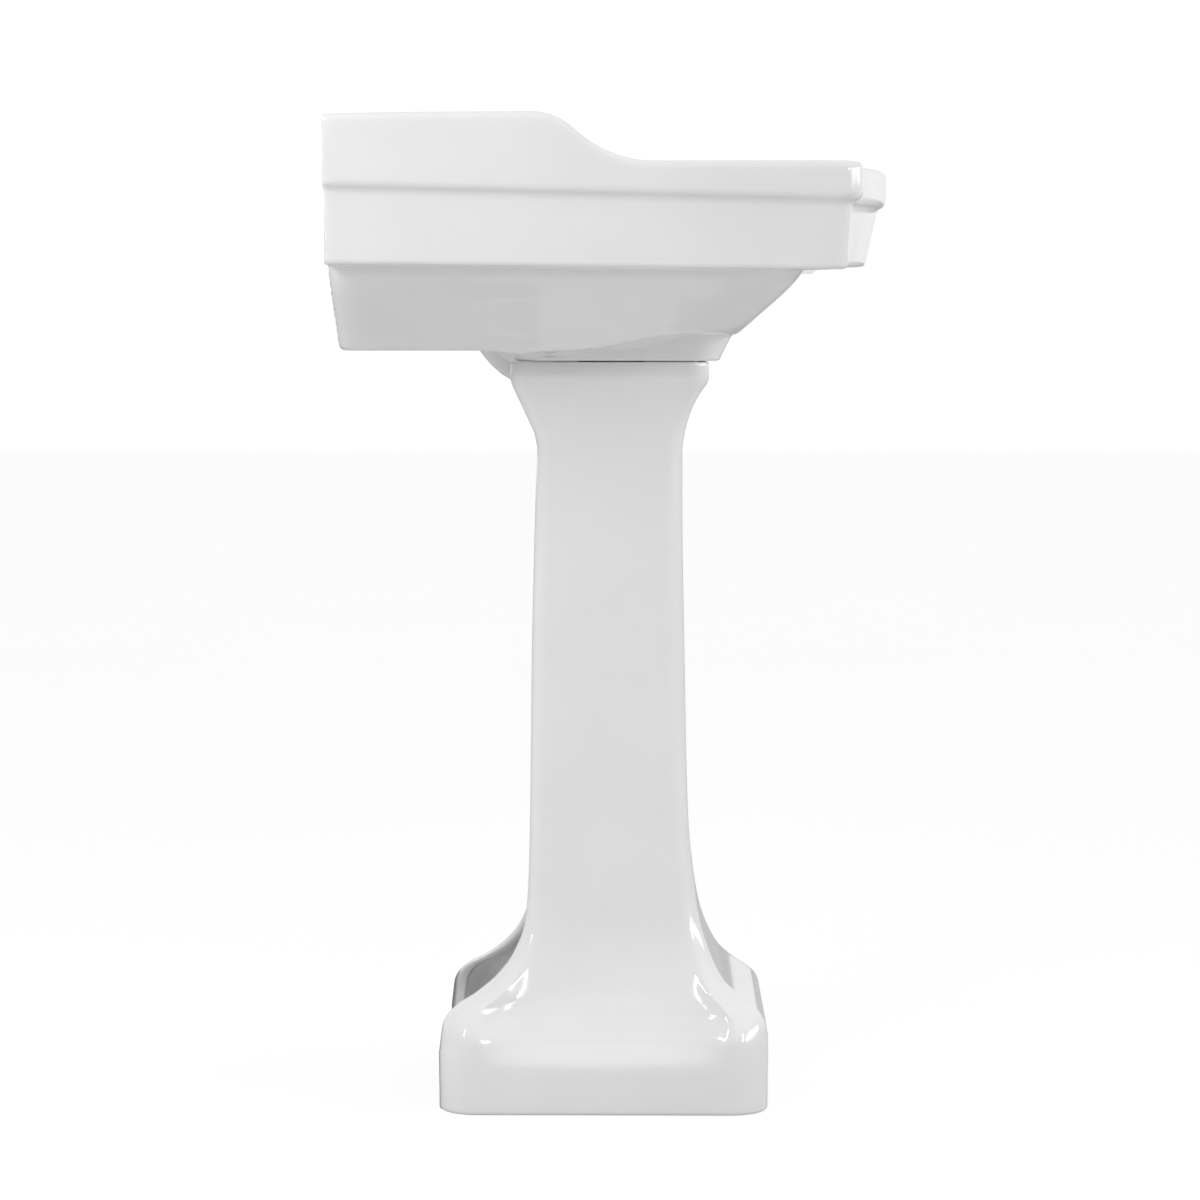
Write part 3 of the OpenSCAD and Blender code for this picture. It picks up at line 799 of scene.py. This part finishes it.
# ---- Materials ----
def nodes_of(mat):
    """A cleared node tree with a Principled shader, and texture coordinates."""
    mat.use_nodes = True
    nt = mat.node_tree
    nt.nodes.clear()
    out = nt.nodes.new("ShaderNodeOutputMaterial")
    b = nt.nodes.new("ShaderNodeBsdfPrincipled")
    nt.links.new(b.outputs[0], out.inputs[0])
    tc = nt.nodes.new("ShaderNodeTexCoord")
    return nt, b, tc


def noise(nt, tc, scale, detail=4.0, rough=0.5, distortion=0.0):
    """Noise in the object's own space."""
    n = nt.nodes.new("ShaderNodeTexNoise")
    n.inputs["Scale"].default_value = scale
    n.inputs["Detail"].default_value = detail
    n.inputs["Roughness"].default_value = rough
    n.inputs["Distortion"].default_value = distortion
    nt.links.new(tc.outputs["Object"], n.inputs["Vector"])
    return n


def ramp(nt, src, stops):
    """Colours along a value, given as (place, colour)."""
    r = nt.nodes.new("ShaderNodeValToRGB")
    r.color_ramp.elements[0].position, r.color_ramp.elements[0].color = stops[0][0], (*stops[0][1], 1)
    r.color_ramp.elements[1].position, r.color_ramp.elements[1].color = stops[-1][0], (*stops[-1][1], 1)
    for pos, col in stops[1:-1]:
        e = r.color_ramp.elements.new(pos)
        e.color = (*col, 1)
    nt.links.new(src, r.inputs[0])
    return r


def map_range(nt, src, lo, hi):
    """A value from 0 to 1 spread between lo and hi."""
    m = nt.nodes.new("ShaderNodeMapRange")
    m.inputs["To Min"].default_value = lo
    m.inputs["To Max"].default_value = hi
    nt.links.new(src, m.inputs["Value"])
    return m


def bump(nt, height, strength, distance, normal=None):
    """Relief from a height value, on top of any other."""
    b = nt.nodes.new("ShaderNodeBump")
    b.inputs["Strength"].default_value = strength
    b.inputs["Distance"].default_value = distance
    nt.links.new(height, b.inputs["Height"])
    if normal is not None:
        nt.links.new(normal, b.inputs["Normal"])
    return b


def glaze():
    """White glazed china with a faint orange peel."""
    mat = bpy.data.materials.new("white_glaze")
    nt, b, tc = nodes_of(mat)
    cloud = noise(nt, tc, 9.0, 3.0, 0.55)
    tone = ramp(nt, cloud.outputs["Fac"], [(0.3, (0.845, 0.845, 0.852)), (0.7, (0.875, 0.875, 0.878))])
    nt.links.new(tone.outputs[0], b.inputs["Base Color"])
    fine = noise(nt, tc, 55.0, 3.0, 0.6)
    rough = map_range(nt, fine.outputs["Fac"], 0.05, 0.11)
    nt.links.new(rough.outputs[0], b.inputs["Roughness"])
    peel = noise(nt, tc, 160.0, 2.0, 0.4)
    wave = noise(nt, tc, 14.0, 2.0, 0.4)
    n1 = bump(nt, wave.outputs["Fac"], 0.25, 0.0008)
    n2 = bump(nt, peel.outputs["Fac"], 0.12, 0.00006, n1.outputs[0])
    nt.links.new(n2.outputs[0], b.inputs["Normal"])
    b.inputs["Coat Weight"].default_value = 0.6
    b.inputs["Coat Roughness"].default_value = 0.03
    b.inputs["IOR"].default_value = 1.5
    return mat


def metal(name, low, high, r0, r1, grain):
    """Metal with uneven tone, smudges and a fine grain."""
    mat = bpy.data.materials.new(name)
    nt, b, tc = nodes_of(mat)
    cloud = noise(nt, tc, 60.0, 4.0, 0.6)
    tone = ramp(nt, cloud.outputs["Fac"], [(0.3, low), (0.7, high)])
    nt.links.new(tone.outputs[0], b.inputs["Base Color"])
    smudge = noise(nt, tc, 35.0, 5.0, 0.65, 0.6)
    rough = map_range(nt, smudge.outputs["Fac"], r0, r1)
    nt.links.new(rough.outputs[0], b.inputs["Roughness"])
    fine = noise(nt, tc, grain, 3.0, 0.5)
    n1 = bump(nt, fine.outputs["Fac"], 0.15, 0.00003)
    nt.links.new(n1.outputs[0], b.inputs["Normal"])
    b.inputs["Metallic"].default_value = 1.0
    return mat


def soft(name, low, high, r0, r1, grain, strength):
    """Rubber or plastic with a fine grain."""
    mat = bpy.data.materials.new(name)
    nt, b, tc = nodes_of(mat)
    cloud = noise(nt, tc, 40.0, 4.0, 0.6)
    tone = ramp(nt, cloud.outputs["Fac"], [(0.3, low), (0.7, high)])
    nt.links.new(tone.outputs[0], b.inputs["Base Color"])
    fine = noise(nt, tc, grain, 4.0, 0.6)
    rough = map_range(nt, fine.outputs["Fac"], r0, r1)
    nt.links.new(rough.outputs[0], b.inputs["Roughness"])
    n1 = bump(nt, fine.outputs["Fac"], strength, 0.0002)
    nt.links.new(n1.outputs[0], b.inputs["Normal"])
    return mat


MATERIALS = {
    "china": glaze(),
    "chrome": metal("polished_chrome", (0.78, 0.79, 0.80), (0.84, 0.85, 0.86), 0.05, 0.14, 900.0),
    "brass": metal("turned_brass", (0.70, 0.53, 0.26), (0.80, 0.64, 0.36), 0.22, 0.38, 700.0),
    "rubber": soft("black_rubber", (0.018, 0.018, 0.02), (0.035, 0.035, 0.037), 0.6, 0.8, 800.0, 0.3),
    "plastic": soft("white_plastic", (0.74, 0.74, 0.72), (0.80, 0.80, 0.78), 0.35, 0.5, 600.0, 0.15),
}
for sub in frame["record"]["subparts"]:
    node = frame["nodes"][sub["node"]]
    node.data.materials.clear()
    node.data.materials.append(MATERIALS[sub["material_slot"]])
    bevel = node.modifiers.new("soft_edges", "BEVEL")
    bevel.width = 0.0004
    bevel.segments = 2
    bevel.limit_method = "ANGLE"
    bevel.angle_limit = math.radians(40)
    bevel.harden_normals = True

for ob, node in ((build_basin(), "basin"), (build_pedestal(), "pedestal")):
    ob.data.materials.clear()
    ob.data.materials.append(MATERIALS["china"])
    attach(ob, "sink")
    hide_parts(node)


# ---- Studio ----
FLOOR_GAP = 0.0003
FLOOR_GLOW, GLOW_SHARE = 1.16, 0.75


def floor():
    """The pale floor."""
    bm = bmesh.new()
    bmesh.ops.create_grid(bm, x_segments=2, y_segments=2, size=14)
    me = bpy.data.meshes.new("studio_floor")
    bm.to_mesh(me)
    bm.free()
    ob = bpy.data.objects.new("studio_floor", me)
    bpy.context.scene.collection.objects.link(ob)
    ob.location = (0, 0, -FLOOR_GAP)
    mat = bpy.data.materials.new("pale_floor")
    nt, b, tc = nodes_of(mat)
    cloud = noise(nt, tc, 1.2, 2.0, 0.5)
    tone = ramp(nt, cloud.outputs["Fac"], [(0.2, (0.60, 0.60, 0.605)), (0.8, (0.63, 0.63, 0.63))])
    nt.links.new(tone.outputs[0], b.inputs["Base Color"])
    b.inputs["Roughness"].default_value = 0.9
    b.inputs["Specular IOR Level"].default_value = 0.0
    # Seen directly, the floor is a lit white sweep that keeps only a faint shadow
    glow = nt.nodes.new("ShaderNodeEmission")
    glow.inputs["Strength"].default_value = FLOOR_GLOW
    path = nt.nodes.new("ShaderNodeLightPath")
    share = nt.nodes.new("ShaderNodeMath")
    share.operation = "MULTIPLY"
    share.inputs[1].default_value = GLOW_SHARE
    mix = nt.nodes.new("ShaderNodeMixShader")
    out = [n for n in nt.nodes if n.type == "OUTPUT_MATERIAL"][0]
    nt.links.new(path.outputs["Is Camera Ray"], share.inputs[0])
    nt.links.new(share.outputs[0], mix.inputs[0])
    nt.links.new(b.outputs[0], mix.inputs[1])
    nt.links.new(glow.outputs[0], mix.inputs[2])
    nt.links.new(mix.outputs[0], out.inputs[0])
    me.materials.append(mat)


# Each lamp: name, place, aim, size, power, and True where it shows only in reflections
LAMPS = [
    ("high_left", (-1.5, 1.6, 2.1), (0, 0.1, 0.5), (0.7, 0.7), 7),
    ("strip_left", (-1.5, 1.5, 1.6), (0, 0, 0.1), (0.06, 0.6), 4, True),
    ("strip_right", (-1.8, -1.4, 1.25), (0, 0, 0.1), (0.06, 0.6), 7, True),
    ("front", (-0.6, -3.2, 1.2), (0, 0, 0.6), (2.6, 2.0), 22),
    ("brow", (-0.15, -1.35, 1.2), (-0.15, -0.2, 0.83), (0.7, 0.4), 5),
    ("side", (-1.4, 0.9, 1.25), (-0.3, 0.26, 0.8), (0.5, 0.5), 9),
    ("inside", (-0.15, 1.6, 0.35), (0.1, 0.1, 0.2), (0.5, 0.5), 2),
    ("low", (-1.2, -0.3, 0.2), (-0.1, -0.05, 0.68), (0.5, 0.3), 0.5),
    ("edge", (-0.7, -2.3, 1.2), (-0.3, -0.2, 0.83), (2.6, 0.6), 22, True),
]


def softbox(name, at, aim, size, power, mirrored=False):
    """A lamp out of sight: a mirrored one shows only in reflections, any other lights only diffusely."""
    light = bpy.data.lights.new(name, "AREA")
    light.shape = "RECTANGLE"
    light.size, light.size_y = size
    light.energy = power
    ob = bpy.data.objects.new(name, light)
    bpy.context.scene.collection.objects.link(ob)
    ob.location = at
    ob.rotation_euler = (Vector(aim) - Vector(at)).to_track_quat("-Z", "Y").to_euler()
    ob.visible_camera = False
    ob.visible_glossy, ob.visible_diffuse = mirrored, not mirrored


def studio():
    """The pale backdrop and the lamps."""
    scene = bpy.context.scene
    scene.view_settings.view_transform = "Standard"
    scene.view_settings.look = "None"
    world = bpy.data.worlds.new("studio")
    scene.world = world
    world.use_nodes = True
    nt = world.node_tree
    nt.nodes.clear()
    out = nt.nodes.new("ShaderNodeOutputWorld")
    mix = nt.nodes.new("ShaderNodeMixShader")
    path = nt.nodes.new("ShaderNodeLightPath")
    seen, lit = nt.nodes.new("ShaderNodeBackground"), nt.nodes.new("ShaderNodeBackground")
    seen.inputs[0].default_value, seen.inputs[1].default_value = (1, 1, 1, 1), 1.05
    tc = nt.nodes.new("ShaderNodeTexCoord")
    axes = nt.nodes.new("ShaderNodeSeparateXYZ")
    nt.links.new(tc.outputs["Generated"], axes.inputs[0])
    sky = ramp(nt, axes.outputs["Z"], [(0.0, (0.27, 0.27, 0.28)), (0.25, (0.40, 0.40, 0.41)),
                                       (1.0, (0.76, 0.76, 0.76))])
    # The white backdrop behind the object brightens what its edges mirror
    drop = ramp(nt, axes.outputs["X"], [(0.1, (0.2, 0.2, 0.2)), (0.8, (0.85, 0.85, 0.85))])
    lighter = nt.nodes.new("ShaderNodeMix")
    lighter.data_type, lighter.blend_type = "RGBA", "LIGHTEN"
    lighter.inputs["Factor"].default_value = 1.0
    nt.links.new(sky.outputs[0], lighter.inputs["A"])
    nt.links.new(drop.outputs[0], lighter.inputs["B"])
    nt.links.new(lighter.outputs["Result"], lit.inputs[0])
    nt.links.new(path.outputs["Is Camera Ray"], mix.inputs[0])
    nt.links.new(lit.outputs[0], mix.inputs[1])
    nt.links.new(seen.outputs[0], mix.inputs[2])
    nt.links.new(mix.outputs[0], out.inputs[0])
    for lamp in LAMPS:
        softbox(*lamp)


def camera():
    """The camera beside the sink, level with the basin."""
    cam = bpy.data.cameras.new("camera")
    cam.lens, cam.sensor_width = 107.25, 36.0
    cam.clip_start, cam.clip_end = 0.05, 60
    ob = bpy.data.objects.new("camera", cam)
    bpy.context.scene.collection.objects.link(ob)
    yaw, pitch = math.radians(0.559), math.radians(4.797)
    f = Vector((math.cos(pitch) * math.cos(yaw), math.cos(pitch) * math.sin(yaw), -math.sin(pitch)))
    ob.location = (-3.3107, -0.0161, 0.7315)
    ob.rotation_euler = f.to_track_quat("-Z", "Y").to_euler()
    bpy.context.scene.camera = ob


floor()
studio()
camera()
